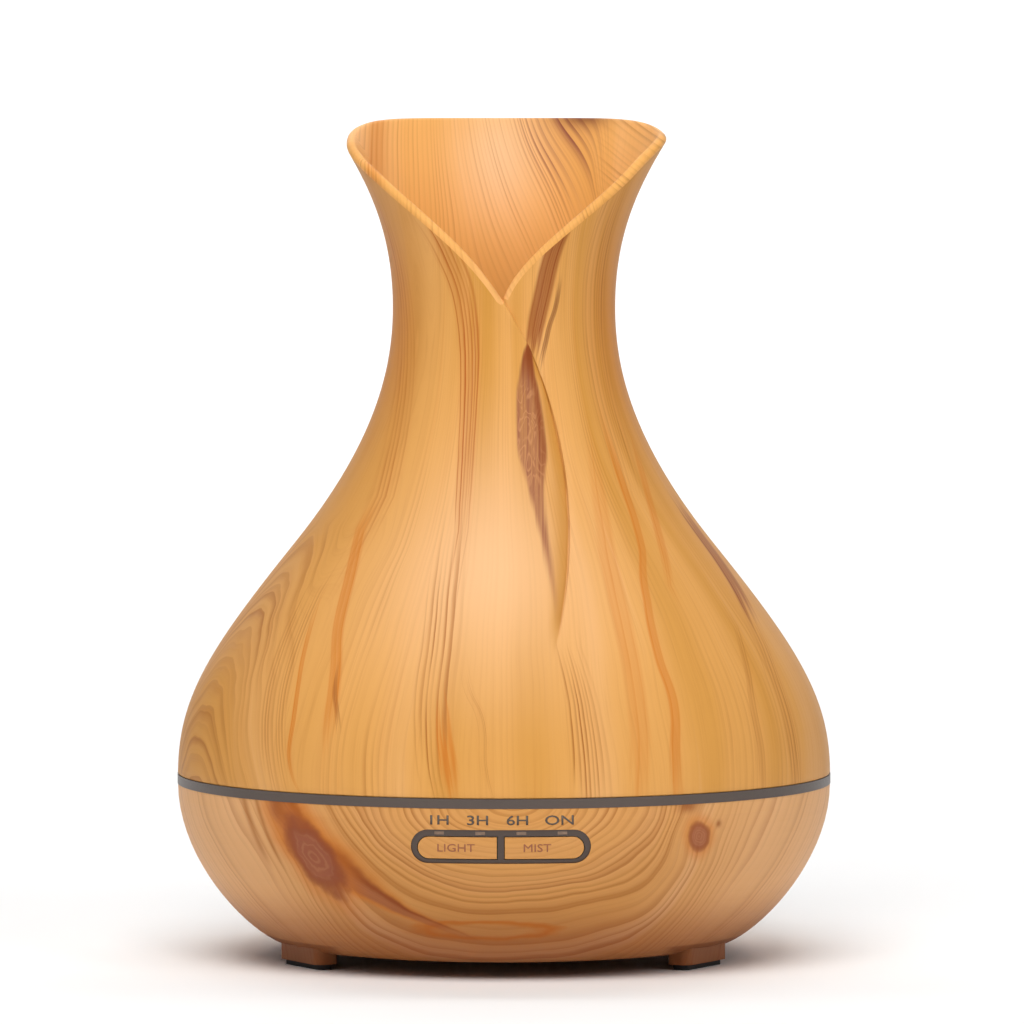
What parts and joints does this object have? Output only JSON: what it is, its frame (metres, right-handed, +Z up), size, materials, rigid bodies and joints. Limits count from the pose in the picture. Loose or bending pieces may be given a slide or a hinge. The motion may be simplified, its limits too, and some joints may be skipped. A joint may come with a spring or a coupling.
{
  "type": "essential oil diffuser",
  "caption": "Vase-shaped ultrasonic aroma diffuser with a V-mouthed wood-grain cover that lifts off, inner cover, water tank, press buttons, fan and driver boards.",
  "frame": {"origin": "centre of the footprint, on the plane of the rubber feet's undersides", "axes": "+Z up along the body's axis, -Y towards the button panel at the front, +X to the viewer's right, +Y towards the DC inlet at the back"},
  "size_m": [0.1682, 0.1682, 0.216],
  "materials": {
    "wood_print": "satin printed pine grain",
    "ring_grey": "satin translucent grey-brown",
    "bezel_brown": "satin dark brown",
    "lens": "clear-tinted light pipe",
    "foot_rubber": "matte",
    "shell_white": "satin moulded",
    "seal_rubber": "matte",
    "ceramic_disc": "satin",
    "steel": "brushed",
    "fan_black": "matte",
    "board_green": "solder-mask satin",
    "board_white": "white solder mask on aluminium",
    "chip_black": "matte epoxy",
    "copper_coil": "enamelled wire",
    "capacitor_can": "sleeved can",
    "heat_sink": "extruded",
    "connector_white": "moulded",
    "led_lens": "phosphor and clear resin",
    "wire_red": "satin sleeve",
    "wire_black": "satin sleeve",
    "wire_grey": "satin sleeve",
    "wire_blue": "satin sleeve",
    "wire_yellow": "satin sleeve"
  },
  "bodies": {
    "base": {"base_shell": "wood_print", "foot_pads": "foot_rubber", "light_ring": "ring_grey", "button_bezel": "bezel_brown", "light_pipes": "lens", "water_tank": "shell_white", "air_tower": "shell_white", "duct_hood": "shell_white", "transducer_disc": "ceramic_disc", "transducer_seal": "seal_rubber", "transducer_plate": "steel", "transducer_screws": "steel", "fan_frame": "fan_black", "fan_screws": "steel", "main_board": "board_green", "controller_chips": "chip_black", "inductor_coil": "copper_coil", "capacitors": "capacitor_can", "power_transistor": "chip_black", "heat_sink": "heat_sink", "board_connectors": "connector_white", "board_screws": "steel", "led_board": "board_white", "mood_leds": "led_lens", "led_board_screws": "steel", "button_board": "board_green", "button_board_screws": "steel", "switch_bodies": "chip_black", "indicator_leds": "led_lens", "dc_jack": "chip_black", "jack_pin": "steel", "jack_nut": "steel", "housing_screws": "steel", "jack_lead": "wire_red", "fan_lead": "wire_black", "transducer_lead": "wire_grey", "led_lead": "wire_blue", "button_lead": "wire_yellow"},
    "fan_rotor": {"fan_rotor": "fan_black"},
    "light_button": {"light_button": "wood_print", "light_switch_plunger": "chip_black"},
    "mist_button": {"mist_button": "wood_print", "mist_switch_plunger": "chip_black"},
    "inner_cover": {"inner_cover": "shell_white", "cover_seal": "seal_rubber", "mist_chimney": "shell_white"},
    "vase_cover": {"vase_cover": "wood_print"}
  },
  "joints": [
    {"name": "fan_spin", "type": "hinge", "parent": "base", "child": "fan_rotor", "pos_m": [-0.042, -0.004, 0.02], "axis": [0, 0, 1], "continuous": true},
    {"name": "light_press", "type": "slide", "parent": "base", "child": "light_button", "axis": [0, 1, 0], "range_m": [0, 0.0006], "stiffness_N_per_m": 500, "springref_m": -0.002},
    {"name": "mist_press", "type": "slide", "parent": "base", "child": "mist_button", "axis": [0, 1, 0], "range_m": [0, 0.0006], "stiffness_N_per_m": 500, "springref_m": -0.002},
    {"name": "inner_cover_lift", "type": "slide", "parent": "base", "child": "inner_cover", "axis": [0, 0, 1], "range_m": [0, 0.08]},
    {"name": "vase_cover_lift", "type": "slide", "parent": "inner_cover", "child": "vase_cover", "axis": [0, 0, 1], "range_m": [0, 0.12]}
  ]
}
